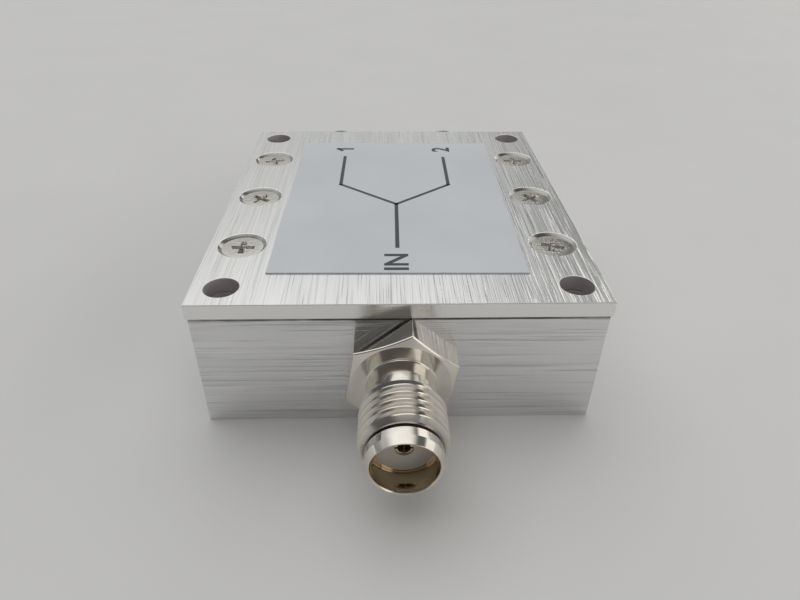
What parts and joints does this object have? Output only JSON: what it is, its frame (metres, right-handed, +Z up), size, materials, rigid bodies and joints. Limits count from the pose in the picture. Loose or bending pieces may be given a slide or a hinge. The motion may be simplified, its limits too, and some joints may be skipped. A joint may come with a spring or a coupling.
{
  "type": "rf power splitter",
  "caption": "Flat milled aluminium box with a screwed-on lid, a threaded coaxial input jack in front and output jacks behind; divides a radio-frequency signal evenly.",
  "frame": {"origin": "centre of the case's base", "axes": "+Z up out of the lid, -Y out of the input jack, +Y out of the output jacks"},
  "size_m": [0.032, 0.0576, 0.0118],
  "materials": {
    "case_aluminium": "brushed",
    "screw_steel": "nickel plated",
    "label_film": "satin",
    "jack_nickel": "nickel plated",
    "insulator_white": "waxy",
    "contact_gold": "gold plated",
    "board_green": "solder resist",
    "solder_tin": "bright",
    "ferrite": "dull",
    "enamelled_copper": "enamelled",
    "resistor_black": "glazed top, tinned ends",
    "capacitor_tan": "bare, tinned ends"
  },
  "bodies": {
    "root": {"housing": "case_aluminium", "lid": "case_aluminium", "lid_screws": "screw_steel", "board_screws": "screw_steel", "label": "label_film", "shell_input": "jack_nickel", "shell_output_1": "jack_nickel", "shell_output_2": "jack_nickel", "insulator_input": "insulator_white", "insulator_output_1": "insulator_white", "insulator_output_2": "insulator_white", "contact_input": "contact_gold", "contact_output_1": "contact_gold", "contact_output_2": "contact_gold", "circuit_board": "board_green", "solder_joints": "solder_tin", "matching_core": "ferrite", "splitter_core": "ferrite", "matching_winding": "enamelled_copper", "splitter_winding": "enamelled_copper", "isolation_resistor": "resistor_black", "chip_capacitors": "capacitor_tan"}
  },
  "joints": []
}
